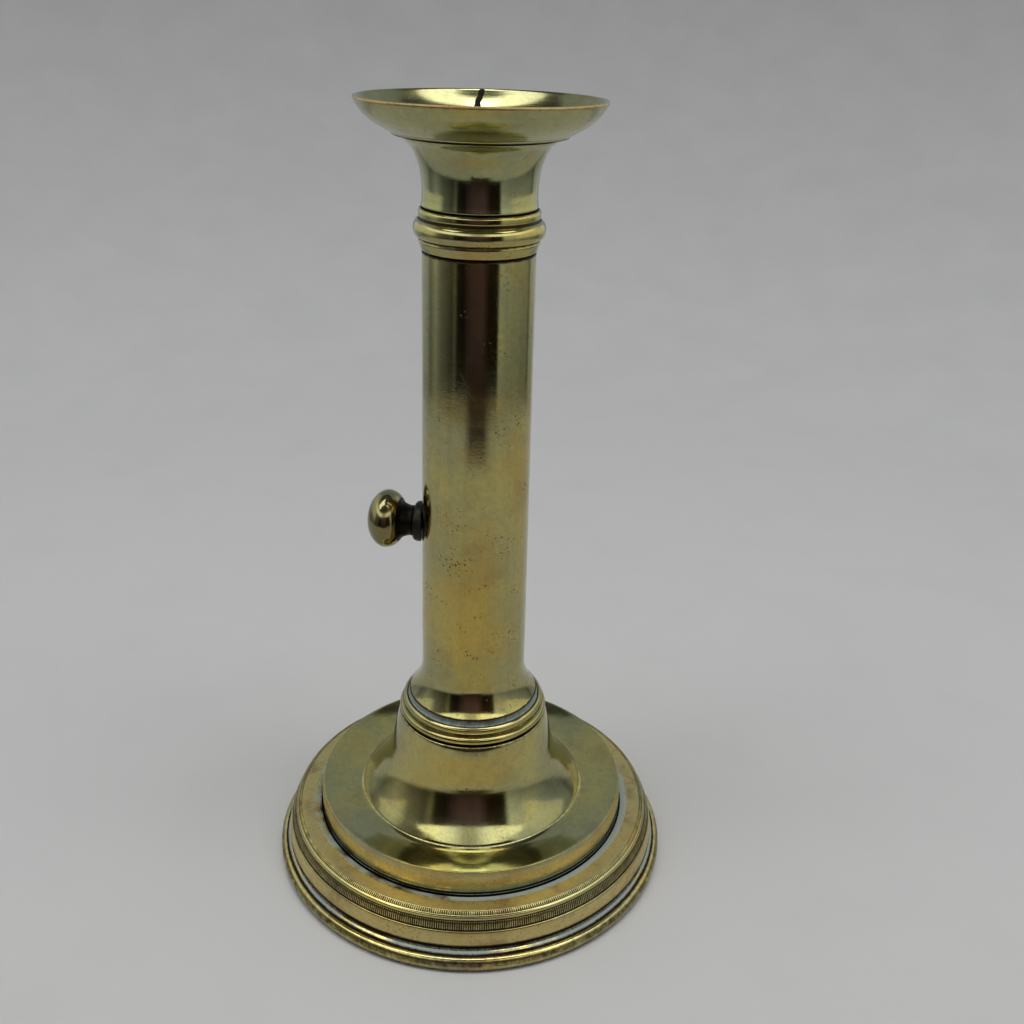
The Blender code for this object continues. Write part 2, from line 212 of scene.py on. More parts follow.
def walled(outer: np.ndarray, wall: float) -> np.ndarray:
    """Close an open outline with an inner side that runs back at a constant distance.

    Args:
        outer: rows of radius, height and marks, running down the outer side.
        wall: thickness in millimetres.

    Returns:
        The closed outline: outer side, then the inner side the other way.
    """
    tangent = np.gradient(outer[:, :2], axis=0)
    tangent /= np.linalg.norm(tangent, axis=1, keepdims=True)
    inner = outer.copy()
    inner[:, :2] += wall * np.stack([tangent[:, 1], -tangent[:, 0]], axis=1)
    return np.concatenate([outer, inner[::-1]])


def fitted(outline: np.ndarray, node: str, axis: Grain = Grain.UPRIGHT) -> np.ndarray:
    """Stretch an outline so that it spans exactly what its node spans in the frame.

    Args:
        outline: rows of radius, height and marks, in millimetres.
        node: name of the node that the piece stands for.
        axis: the axis that the piece is turned about.

    Returns:
        The outline with its radius and height in metres.
    """
    low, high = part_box(node)
    if axis is Grain.UPRIGHT:
        radius, bottom, top = high.x, low.z, high.z
    else:
        radius, bottom, top = (high.y - low.y) / 2.0, -high.x, -low.x
    made = outline.copy()
    made[:, 0] *= radius / outline[:, 0].max()
    share = (outline[:, 1] - outline[:, 1].min()) / np.ptp(outline[:, 1])
    made[:, 1] = bottom + share * (top - bottom)
    return made


def turned_grid(outline: np.ndarray, segments: int) -> np.ndarray:
    """Turn an outline about Z: (r, z) and angle a give (r cos a, r sin a, z).

    Args:
        outline: rows of radius, height and marks, in metres.
        segments: columns round the axis.

    Returns:
        Points with shape (rows, segments, 3).
    """
    angle = np.linspace(0.0, 2.0 * np.pi, segments, endpoint=False)[None, :]
    radius, height = outline[:, 0:1], outline[:, 1:2]
    return np.stack([radius * np.cos(angle), radius * np.sin(angle), height + 0.0 * angle], axis=-1)


def grid_faces(rows: int, columns: int, close_rows: bool, close_columns: bool = True) -> np.ndarray:
    """Quads of a grid of points, each from a point and its three neighbours down and round.

    Args:
        rows: rows of the grid, from the top of the outline.
        columns: columns round the axis.
        close_rows: whether the last row joins the first.
        close_columns: whether the last column joins the first.

    Returns:
        Point numbers with shape (faces, 4), facing outwards.
    """
    row = np.arange(rows if close_rows else rows - 1)[:, None]
    column = np.arange(columns if close_columns else columns - 1)[None, :]
    below, beside = (row + 1) % rows, (column + 1) % columns
    corner = [row * columns + column, below * columns + column, below * columns + beside, row * columns + beside]
    return np.stack(np.broadcast_arrays(*corner), axis=-1).reshape(-1, 4)


def mesh_piece(name: str, points: np.ndarray, faces: np.ndarray, marks: dict[str, np.ndarray]) -> Piece:
    """Put points, faces and surface marks into a new smooth object at the origin.

    Args:
        name: the piece's name.
        points: coordinates in metres, last axis of three.
        faces: point numbers of each face.
        marks: attribute name to one value for each point; one left out counts as nought.

    Returns:
        The new object, linked to the scene, with doubled points merged.
    """
    mesh = bpy.data.meshes.new(name)
    mesh.from_pydata(points.reshape(-1, 3).tolist(), [], faces.tolist())
    for mark, values in marks.items():
        layer = mesh.attributes.new(mark, "FLOAT", "POINT")
        layer.data.foreach_set("value", np.ascontiguousarray(values, np.float32).ravel())
    piece = bpy.data.objects.new(name, mesh)
    bpy.context.scene.collection.objects.link(piece)
    weld = piece.modifiers.new("Weld", "WELD")
    weld.merge_threshold = DOUBLED
    graph = bpy.context.evaluated_depsgraph_get()
    piece.data = bpy.data.meshes.new_from_object(piece.evaluated_get(graph))
    piece.modifiers.clear()
    bpy.data.meshes.remove(mesh)
    piece.data.name = name
    piece.data.shade_smooth()
    piece.data.set_sharp_from_angle(angle=SHARP_EDGE)
    return piece


def turned_piece(name: str, outline: np.ndarray, segments: int, closed: bool = True) -> Piece:
    """Turn an outline about Z into a piece that carries the outline's surface marks.

    Args:
        name: the piece's name.
        outline: rows of radius, height and marks, in metres.
        segments: columns round the axis.
        closed: whether the outline is closed, as for a ring.

    Returns:
        The new piece.
    """
    points = turned_grid(outline, segments)
    faces = grid_faces(len(outline), segments, closed)
    marks = {mark: np.repeat(outline[:, 2 + k], segments) for k, mark in enumerate(SURFACE_MARKS)}
    return mesh_piece(name, points, faces, marks)


# Finishes


@dataclass(frozen=True)
class AgedBrass:
    """Old cast brass, turned and hand polished: a mirror broken by fine turning lines and handling.

    The metal is a pale yellow where it is freshly polished, greenish grey where a thin tarnish has
    come back, and ochre in patches and on satin, rubbed bands.  Grooves hold black tarnish and pale,
    chalky polish residue.  Noise scales are features in a metre.
    """

    name: str
    base: str = "C2B36C"          # polished metal
    shade: str = "9FA17C"         # greenish grey metal under a thin tarnish
    warm: str = "C4A050"          # ochre patches
    warm_amount: float = 0.35
    shade_amount: float = 0.7
    tarnish: str = "30251A"       # brown black tarnish
    residue: str = "A9B5AE"       # dried polish
    rubbed: str = "D8C486"        # satin, rubbed bands
    blush: str = "8F6C52"         # pinkish brown stains
    blush_amount: float = 0.25
    roughness: float = 0.10
    pit_amount: float = 0.3
    streaks: float = 0.0          # upright drawing marks
    film: str = "6E6A48"          # handling film in fine streaks and specks
    cloud: float = 38.0           # features in a metre: 26 mm clouds of tarnish
    ochre: float = 58.0           # 17 mm ochre patches
    stain: float = 95.0           # 10 mm brown stains
    blotch: float = 170.0         # 6 mm blotches
    mottle: float = 620.0         # 1.6 mm unevenness of hand polishing
    speck: float = 1700.0         # 0.6 mm specks
    pit: float = 1050.0           # casting pits 1 mm apart and 0.3 mm wide, the finest that show
    line: float = 2600.0          # turning lines 0.4 mm apart, coarser than the tool's own, to show
    drawn: tuple = (520.0, 520.0, 14.0)     # drawing marks 2 mm apart and 70 mm long
    scratch_width: float = 0.0004           # coarser than real scratches, to show
    relief_depth: float = 0.00002           # height of the relief's unit, m
    grain: Grain = Grain.UPRIGHT

    def build(self) -> Material:
        """Build the node material.

        The tone goes in layers from the polished metal up: tarnish, ochre, rubbed bands, stains, film,
        pits, grime and residue, which is the only layer that isn't metal.

        Returns:
            The finished material.
        """
        paint = Paint(self.name)
        place = paint.place
        aside, beyond = (paint.add("Mapping", {"Vector": place, "Location": shift})
                         for shift in ((3.0, 1.0, 2.0), (7.0, 5.0, 1.0)))
        stretched = paint.add("Mapping", {"Vector": place, "Scale": self.drawn})
        cloud, blotch, mottle, speck, line, drawn, ochre, stain = (
            paint.add("TexNoise", {"Vector": where, "Scale": scale, "Detail": detail, "Roughness": rough})
            for where, scale, detail, rough in (
                (place, self.cloud, 3.0, 0.55), (place, self.blotch, 5.0, 0.65), (place, self.mottle, 4.0, 0.7),
                (place, self.speck, 2.0, 0.6), (self.turning_space(paint), 1.0, 3.0, 0.7),
                (stretched, 1.0, 3.0, 0.6), (aside, self.ochre, 4.0, 0.6), (beyond, self.stain, 4.0, 0.62)))
        scratch = self.scratches(paint)
        rub = paint.mark("rub", blotch, 0.15, 0.95)
        grime = paint.mark("grime", mottle, 0.35, 0.72)
        flaking = paint.patches(cloud, 0.62, 0.86, blotch, 0.6)
        crust = paint.mark("residue", speck, 0.34, 0.78)
        residue = paint.add("Math", {0: crust, 1: flaking}, operation="MULTIPLY")
        pits = self.pits(paint, blotch, rub)
        shaded = paint.patches(cloud, 0.48, 0.74, mottle, 0.25)
        patch = paint.patches(ochre, 0.50, 0.70, rub, 0.10)
        film = paint.weighed(((paint.patches(mottle, 0.35, 0.75), 0.14), (scratch, 0.15),
                              (paint.patches(drawn, 0.45, 0.70), self.streaks),
                              (paint.patches(speck, 0.45, 0.70), 0.13)))
        tone: Any = linear(self.base)
        for cover, amount, code in ((shaded, self.shade_amount, self.shade), (patch, self.warm_amount, self.warm),
                                    (rub, 0.75, self.rubbed),
                                    (paint.patches(stain, 0.52, 0.68), self.blush_amount, self.blush),
                                    (film, 1.0, self.film), (pits, 0.75, self.tarnish),
                                    (grime, 1.0, self.tarnish), (residue, 1.0, self.residue)):
            share = paint.add("Math", {0: cover, 1: amount}, operation="MULTIPLY")
            tone = paint.add("Mix", {0: share, 6: tone, 7: linear(code)}, 2, data_type="RGBA")
        rough = paint.add("MapRange", {"Value": line, "From Min": 0.3, "From Max": 0.7,
                                       "To Min": self.roughness * 0.7, "To Max": self.roughness * 1.45})
        rough = paint.weighed(((patch, 0.05), (rub, 0.24), (scratch, 0.03), (grime, 0.32), (residue, 0.5),
                               (pits, 0.3), (shaded, 0.03 * self.shade_amount), (mottle, 0.03)), rough)
        metallic = paint.add("Math", {0: 1.0, 1: residue}, operation="SUBTRACT", use_clamp=True)
        relief = paint.weighed(((line, 0.35), (blotch, 2.2), (mottle, 0.7), (drawn, 6.0 * self.streaks),
                                (scratch, -0.2), (pits, -2.0), (residue, 4.0)))
        normal = paint.add("Bump", {"Height": relief, "Strength": 0.4, "Distance": self.relief_depth})
        return paint.finish(paint.add("BsdfPrincipled", {"Base Color": tone, "Metallic": metallic,
                                                         "Roughness": rough, "Normal": normal}))

    def turning_space(self, paint: Paint) -> NodeSocket:
        """Coordinates that change fast across the turning lines and slowly along them.

        The first two are the distance from the axis and the place along it, times the lines in a
        metre; a unit vector round the axis is added to them.

        Args:
            paint: the material.

        Returns:
            The coordinates.
        """
        split = [paint.add("SeparateXYZ", {0: paint.place}, axis) for axis in range(3)]
        axial, one, two = (2, 0, 1) if self.grain is Grain.UPRIGHT else (0, 1, 2)
        flat = paint.add("CombineXYZ", {0: split[one], 1: split[two]})
        radius = paint.add("VectorMath", {0: flat}, "Value", operation="LENGTH")
        around = paint.add("VectorMath", {0: flat}, operation="NORMALIZE")
        slow = paint.add("VectorMath", {0: around, "Scale": 1.3}, operation="SCALE")
        lines = paint.add("CombineXYZ", {0: radius, 1: split[axial]})
        return paint.add("VectorMath", {0: lines, 1: (self.line,) * 3, 2: slow}, operation="MULTIPLY_ADD")

    def scratches(self, paint: Paint) -> NodeSocket:
        """Thin scratches in three slanting directions, from noise that is squeezed across them."""
        kinds = []
        for tilt, length in (((0.35, 0.9, 0.25), 0.012), ((1.1, -0.4, 0.9), 0.008), ((0.2, 1.35, 0.5), 0.015)):
            turned = paint.add("Mapping", {"Vector": paint.place, "Rotation": tilt,
                                           "Scale": (length, length, self.scratch_width)}, vector_type="TEXTURE")
            noise = paint.add("TexNoise", {"Vector": turned, "Scale": 1.0, "Detail": 2.0, "Roughness": 0.5})
            kinds.append((paint.patches(noise, 0.65, 0.74), 1.0))
        return paint.weighed(tuple(kinds))

    def pits(self, paint: Paint, breakup: NodeSocket, worn: NodeSocket) -> NodeSocket:
        """Casting pits, gathered in patches and on worn metal.

        Args:
            paint: the material.
            breakup: the noise whose high parts have pits.
            worn: cover of the rubbed bands, which have more.

        Returns:
            The pits' cover, from 0 to 1.
        """
        cells = paint.add("TexVoronoi", {"Vector": paint.place, "Scale": self.pit, "Randomness": 1.0})
        start = 0.60 - 0.12 * self.pit_amount
        where = paint.patches(breakup, start, start + 0.12, worn, 0.10)
        spots = paint.add("Math", {0: paint.patches(cells, 0.38, 0.12), 1: where}, operation="MULTIPLY")
        return paint.add("Math", {0: spots, 1: min(1.0, 2.0 * self.pit_amount)}, operation="MULTIPLY")


@dataclass(frozen=True)
class PlainFinish:
    """A dull finish with two tones and a grain, for iron, wax, charred cotton and inner brass."""

    name: str
    first: str
    second: str
    scale: float                  # features of the grain in a metre
    metallic: float
    rough_low: float
    rough_high: float
    bump: float
    subsurface: float = 0.0       # light that goes in and comes out again, as in wax

    def build(self) -> Material:
        """Build the node material.

        Returns:
            The finished material.
        """
        paint = Paint(self.name)
        grain = paint.add("TexNoise", {"Vector": paint.place, "Scale": self.scale, "Detail": 5.0,
                                       "Roughness": 0.6})
        tone = paint.add("Mix", {0: grain, 6: linear(self.first), 7: linear(self.second)}, 2, data_type="RGBA")
        rough = paint.add("MapRange", {"Value": grain, "From Min": 0.3, "From Max": 0.7,
                                       "To Min": self.rough_low, "To Max": self.rough_high})
        normal = paint.add("Bump", {"Height": grain, "Strength": self.bump, "Distance": 0.0001})
        return paint.finish(paint.add("BsdfPrincipled", {
            "Base Color": tone, "Roughness": rough, "Normal": normal, "Metallic": self.metallic,
            "Subsurface Weight": self.subsurface, "Subsurface Scale": 0.002}))


class Finishes:
    """Every finish on the candlestick, made once."""

    def __init__(self) -> None:
        """Build the materials."""
        # Cast brass, turned and then rubbed for years: satin on the flats, ochre and brown in patches.
        self.foot = AgedBrass("foot_cast_brass", base="CCBE7C", warm_amount=0.4, blush_amount=0.5,
                              pit_amount=0.25, shade_amount=0.6).build()
        # Cast brass, turned and polished bright, so that it mirrors the room.
        self.dome = AgedBrass("dome_cast_brass", roughness=0.075, base="C0B676", warm_amount=0.2,
                              pit_amount=0.25, shade_amount=0.8).build()
        # Turned brass with black tarnish and dried polish left in its grooves.
        self.collar = AgedBrass("collar_turned_brass", base="B3A765", warm_amount=0.3).build()
        # Drawn brass tube: a bright mirror above, pitted and worn to satin lower down.
        self.stem = AgedBrass("stem_drawn_brass", roughness=0.06, base="C2B56E", warm_amount=0.42,
                              pit_amount=0.55, shade_amount=0.75, rubbed="C4AD62", streaks=0.10).build()
        # Turned brass under a thin greenish tarnish.
        self.neck = AgedBrass("neck_turned_brass", roughness=0.07, base="A8A676", shade="8C9576",
                              warm_amount=0.1, pit_amount=0.35).build()
        # Spun brass sheet, duller than the neck, with a rim worn to a reddish yellow.
        self.pan = AgedBrass("pan_spun_brass", roughness=0.14, base="ABA877", shade="8E9675",
                             warm_amount=0.12, pit_amount=0.3, rubbed="B08650").build()
        # Turned brass, bright on the crown and black in the waist.
        self.knob = AgedBrass("knob_turned_brass", tarnish="1D1B18", base="8E8862", shade="74745A",
                              warm_amount=0.12, grain=Grain.CROSSWISE).build()
        # Brass gone black with age: a low sheen with a few paler rubs.
        self.dark = PlainFinish("blackened_brass", "121110", "3A3630", 1300.0, 0.85, 0.25, 0.6, 0.8).build()
        # Rolled spring brass, never polished: an even, deep yellow.
        self.inner = PlainFinish("unpolished_spring_brass", "6E5A2C", "8A7238", 500.0, 1.0, 0.3, 0.5, 0.3).build()
        # Wrought iron with a thin brown rust that takes away its shine.
        self.iron = PlainFinish("old_wrought_iron", "2B2724", "4A3A2E", 420.0, 0.9, 0.45, 0.8, 0.6).build()
        # Cast candle wax: ivory, slightly see-through, softly glossy.
        self.wax = PlainFinish("ivory_candle_wax", "E4D9BC", "D2C29A", 120.0, 0.0, 0.35, 0.6, 0.4, 0.4).build()
        # Burnt cotton braid: matt black with grey ash.
        self.char = PlainFinish("charred_cotton", "0C0A09", "241E1A", 2600.0, 0.0, 0.8, 1.0, 1.0).build()


def dress(piece: Piece, material: Material, node: str, body: Body = Body.STAND) -> None:
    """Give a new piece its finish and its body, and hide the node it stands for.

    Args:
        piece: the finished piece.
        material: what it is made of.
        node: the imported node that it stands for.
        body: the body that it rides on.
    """
    piece.data.materials.clear()
    piece.data.materials.append(material)
    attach(piece, body.value)
    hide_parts(node)
    LOG.info("%s stands for %s, %d faces", piece.name, node, len(piece.data.polygons))


# Sub-assemblies


@dataclass
class Foot:
    """Outer ring of the foot with its two milled bands, and the dome that stands in it."""

    segments: int = 256
    teeth: int = 560              # a tooth every 0.54 mm, the coarsest that still reads as milling
    tooth_depth: float = 0.16
    dome_wall: float = 1.6

    def ring_outline(self) -> np.ndarray:
        """Outline of the ring: groove, ledge, bands, cove, rim and hollow underside."""
        corners = [
            (41.2, 13.2, 0.1, 1.0), (41.4, 13.45, 0.1, 1.0, 0.3), (41.75, 13.55, 0.1, 0.7, 0.85),
            (42.3, 13.75, 0.2, 0.4, 0.95), (42.8, 13.92, 0.2, 0.3, 0.72, 0.3),
            (43.2, 13.98, 0.3, 0.1, 0.6, 0.3), (43.6, 14.0, 0.3, 0.1, 0.1, 0.85),
            (46.3, 14.1, 0.3, 0.12, 0, 0.85), (46.75, 14.08, 0.12), (46.9, 13.85, 0.05, 0.9, 0.2),
            (47.55, 13.4, 0.05, 0.9, 0.2), (47.75, 13.6, 0.25), (48.3, 13.2, 0.3), (48.35, 12.75, 0.15, 0.3),
            (48.45, 12.5, 0.08, 1.0, 0.1), (48.6, 12.2, 0.05, 0.9), (49.15, 10.55, 0.05, 0.9),
            (49.35, 10.25, 0.08, 1.0, 0.1), (49.7, 10.0, 0.2, 0.4, 0, 0.2), (50.05, 8.9, 0.8, 0, 0, 0.8),
            (50.3, 7.4, 0.8, 0, 0, 0.9), (50.35, 6.3, 0.4, 0.5, 0, 0.5), (49.95, 5.85, 0.2, 0.9),
            (49.75, 5.3, 0.3, 1.0), (50.05, 4.85, 0.2, 0.9, 0.5), (50.6, 4.6, 0.15, 0.1, 0.85),
            # the rim's rounded face is made darker across its top and middle
            (51.0, 4.25, 0.1, 0.7, 0.5), (51.1, 3.85, 0.08, 1.0), (52.0, 3.75, 0.4, 0.42, 0, 0.1),
            (52.85, 2.9, 0.8, 0.56, 0, 0.3), (52.85, 1.3, 0.8, 0.46, 0, 0.4), (52.3, 0.3, 0.5, 0.6),
            (51.9, 0.0, 0.2, 0.6), (49.2, 0.0, 0.3, 0.5), (48.6, 2.5, 1.0, 0.45), (48.2, 8.5, 1.5, 0.45),
            (46.5, 11.4, 1.0, 0.5), (44.0, 11.9, 1.0, 0.5), (38.6, 11.9, 0.1, 0.5), (38.6, 13.2, 0.1, 0.9, 0.3)]
        return fitted(rounded_outline(corners, True), "foot_ring")

    def milled_band(self, name: str, top: tuple[float, float], bottom: tuple[float, float]) -> Piece:
        """A band of fine upright teeth on a sloping face.

        The face's points move out along its normal by depth times a triangle wave of the angle,
        faded to nothing at the band's two edges; the back of the band lies inside the ring.

        Args:
            name: the piece's name.
            top: radius and height of the band's upper edge, mm.
            bottom: radius and height of its lower edge, mm.

        Returns:
            The new piece.
        """
        per_tooth = 4
        segments = self.teeth * per_tooth
        share = np.array([0.0, 0.08, 0.35, 0.65, 0.92, 1.0])
        first, last = np.array(top), np.array(bottom)
        run = (last - first) / np.linalg.norm(last - first)
        normal = np.array([-run[1], run[0]])
        face = first + share[:, None] * (last - first)
        fade = np.array([0.0, 0.85, 1.0, 1.0, 0.85, 0.0])
        wave = np.tile(np.array([0.0, 0.65, 1.0, 0.65]), self.teeth)
        lift = self.tooth_depth * fade[:, None] * wave[None, :]
        back = np.stack([last, first]) - 0.35 * normal
        radius = np.concatenate([face[:, 0:1] + lift * normal[0], np.repeat(back[:, 0:1], segments, 1)])
        height = np.concatenate([face[:, 1:2] + lift * normal[1], np.repeat(back[:, 1:2], segments, 1)])
        angle = np.linspace(0.0, 2.0 * np.pi, segments, endpoint=False)[None, :]
        points = MM * np.stack([radius * np.cos(angle), radius * np.sin(angle), height], axis=-1)
        rows = len(radius)
        valley = np.broadcast_to(0.35 + 0.6 * (1.0 - wave)[None, :], (rows, segments))
        return mesh_piece(name, points, grid_faces(rows, segments, True), {"grime": valley})

    def dome_outline(self) -> np.ndarray:
        """Outline of the dome: trumpet, crease, dish, sharp upper edge and upright wall."""
        corners = [
            (4.3, 41.9, 0.1, 0.5), (18.9, 41.9, 0.1, 0.9), (19.45, 41.75, 0.25, 0.5),
            (19.7, 41.0, 0.6, 0, 0, 0.1), (20.3, 38.6, 3.0), (21.0, 35.0, 3.0), (21.85, 31.0, 3.0),
            (23.0, 27.6, 3.0), (24.65, 24.7, 3.0), (26.65, 21.95, 3.0), (28.5, 19.95, 1.6),
            (29.45, 18.85, 0.5, 0.1), (29.75, 18.4, 0.25, 0.45), (31.0, 18.1, 1.0), (33.0, 18.1, 2.0),
            (36.0, 18.7, 2.0, 0, 0, 0.1), (38.6, 19.5, 2.0, 0, 0, 0.1), (40.1, 20.05, 0.4, 0, 0, 0.2),
            (40.55, 20.1, 0.15, 0, 0, 0.2), (40.7, 19.6, 0.2, 0.3, 0, 0.2), (41.05, 17.8, 1.5, 0, 0, 0.75),
            (41.1, 15.6, 0.8, 0.15, 0, 0.6), (40.95, 14.6, 0.3, 0.4, 0, 0.3), (41.0, 14.0, 0.2, 0.9, 0.2),
            (41.1, 13.5, 0.1, 1.0, 0.8)]
        outline = walled(rounded_outline(corners, False, 6), self.dome_wall)
        return fitted(outline, "foot_dome")

    def build(self, finishes: Finishes) -> None:
        """Make the ring, its bands and the dome, and dress them.

        Args:
            finishes: the shared materials.
        """
        dress(turned_piece("foot_ring_turned", self.ring_outline(), self.segments), finishes.foot, "foot_ring")
        for name, top, bottom in (("milled_band_upper", (46.85, 14.0), (47.7, 13.45)),
                                  ("milled_band_lower", (48.55, 12.35), (49.25, 10.4))):
            dress(self.milled_band(name, top, bottom), finishes.foot, "foot_ring")
        dress(turned_piece("foot_dome_cast", self.dome_outline(), self.segments), finishes.dome, "foot_dome")


@dataclass
class Stem:
    """Slotted stem and the moulded collars above and below it."""

    segments: int = 192
    slot_width: float = 5.2
    slot_low: float = 62.2
    slot_high: float = 148.2
    bore: float = 11.6
    foot_radius: float = 13.4     # plain stem, above its skirt
    taper: float = 0.5            # how much thinner it gets
    taper_low: float = 60.0
    shoulder: float = 163.6       # its spigot starts here
    spigot: float = 12.25
    skirt_top: float = 57.5
    skirt_flare: float = 3.5      # how far the skirt flares out

    def collar_outline(self) -> np.ndarray:
        """Outline of the lower collar: lip, residue groove, bead and fillet."""
        corners = [
            (15.6, 47.9, 0.1, 1.0, 0.6), (16.2, 47.6, 0.2, 1.0, 0.6), (16.4, 46.95, 0.3, 0.8, 0.8),
            (17.1, 46.75, 0.2, 0.8, 0.74), (17.35, 46.6, 0.1, 1.0), (17.7, 46.75, 0.3, 0.1), (18.45, 46.2, 0.6),
            (18.45, 45.1, 0.6), (17.9, 44.65, 0.15, 0.9), (18.1, 44.4, 0.15, 0.6), (19.1, 44.2, 0.4),
            (19.5, 43.5, 0.4), (19.45, 42.8, 0.3, 0.4), (18.9, 42.45, 0.1, 1.0), (18.9, 42.2, 0.1, 1.0),
            (4.3, 42.2, 0.1, 0.5), (4.3, 47.9, 0.1, 0.5)]
        return fitted(rounded_outline(corners, True), "base_collar")

    def upper_collar_outline(self) -> np.ndarray:
        """Outline of the upper collar: small bead, torus and tapering fillet."""
        corners = [
            (13.1, 173.0, 0.1, 1.0), (13.45, 172.9, 0.2, 0.3), (13.72, 172.5, 0.3), (13.68, 171.4, 0.4),
            (13.45, 171.0, 0.15, 0.9), (13.6, 170.75, 0.15, 0.9), (14.4, 170.3, 0.8),
            (14.87, 169.3, 1.0, 0, 0, 0.1), (14.87, 168.0, 1.0, 0, 0, 0.1), (14.35, 166.95, 0.8),
            (13.6, 166.6, 0.12, 1.0), (13.65, 166.4, 0.12, 0.6), (13.72, 165.9, 0.4), (13.35, 164.8, 0.6),
            (13.2, 164.1, 0.15, 0.3), (12.95, 163.9, 0.05, 0.8), (12.55, 163.9, 0.05, 1.0),
            (12.55, 173.0, 0.05, 1.0)]
        return fitted(rounded_outline(corners, True), "stem_collar")

    def tube(self) -> Piece:
        """Stem with its slot.

        The tube's side is a grid of height and angle.  Its radius tapers evenly, and the skirt adds a
        flare that grows with the 2.3rd power of the depth below the skirt's top.  The angle runs from
        one edge of the slot round to the other, and the slot's half width is sqrt(R^2 - d^2), where d
        is how far a height lies beyond the centre of the slot's round end; past the ends the edges meet.

        Returns:
            The new piece.
        """
        low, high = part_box("stem_tube")
        foot, top = low.z / MM, high.z / MM
        ends = self.slot_width / 2.0
        arc = 0.5 - 0.5 * np.cos(np.linspace(0.0, np.pi, 17))
        slot_rows = np.concatenate([self.slot_low + ends * arc, self.slot_high - ends * arc])
        plain = np.concatenate([np.linspace(foot, 61.0, 40), np.linspace(70.0, 140.0, 12),
                                np.linspace(151.0, top, 14),
                                self.shoulder + np.array([-0.06, -0.02, 0.02, 0.06])])
        height = np.unique(np.round(np.concatenate([slot_rows, plain]), 4))[::-1]
        skirt = np.clip((self.skirt_top - height) / (self.skirt_top - foot), 0.0, 1.0)
        thinned = np.clip((height - self.taper_low) / (self.shoulder - self.taper_low), 0.0, 1.0)
        outer = self.foot_radius - self.taper * thinned + (self.skirt_flare - 0.15) * skirt ** 2.3 + 0.15 * skirt
        outer = np.where(height > self.shoulder, self.spigot, outer)
        beyond = np.maximum(0.0, np.maximum(self.slot_low + ends - height, height - self.slot_high + ends))
        half = np.sqrt(np.maximum(0.0, ends ** 2 - beyond ** 2))
        share = np.linspace(0.0, 1.0, self.segments + 1)[None, :]
        sides = []
        for radius in (outer, np.full_like(height, self.bore)):
            opening = np.arcsin(half / radius)[:, None]
            angle = np.pi + opening + share * (2.0 * np.pi - 2.0 * opening)
            sides.append(np.stack([radius[:, None] * np.cos(angle), radius[:, None] * np.sin(angle),
                                   np.broadcast_to(height[:, None], angle.shape)], axis=-1))
        points = MM * np.concatenate([sides[0], sides[1][::-1]])
        rows, columns = points.shape[0], points.shape[1]
        faces = grid_faces(rows, columns, True, False)
        cut = np.nonzero(np.maximum(half[:-1], half[1:]) > 0.0)[0]
        outside, inside = cut, rows - 1 - cut
        edge = columns * np.stack([outside, inside, inside - 1, outside + 1], axis=1)
        other = edge[:, ::-1] + columns - 1
        groove = np.maximum(np.clip((foot + 0.6 - height) / 0.5, 0, 1),
                            np.clip((height - self.shoulder + 0.15) / 0.1, 0, 1))
        worn = np.clip((135.0 - height) / 60.0, 0.0, 1.0) * np.clip((height - 58.0) / 8.0, 0.0, 1.0)
        marks = {"grime": np.concatenate([groove, np.full_like(groove, 0.75)]),
                 "rub": np.concatenate([0.5 * worn, 0.0 * worn])}
        spread = {key: np.repeat(value, columns) for key, value in marks.items()}
        return mesh_piece("stem_tube_slotted", points, np.concatenate([faces, edge, other]), spread)

    def build(self, finishes: Finishes) -> None:
        """Make the collars and the stem, and dress them.

        Args:
            finishes: the shared materials.
        """
        for node, outline in (("base_collar", self.collar_outline()), ("stem_collar", self.upper_collar_outline())):
            dress(turned_piece(node + "_turned", outline, self.segments), finishes.collar, node)
        dress(self.tube(), finishes.stem, "stem_tube")


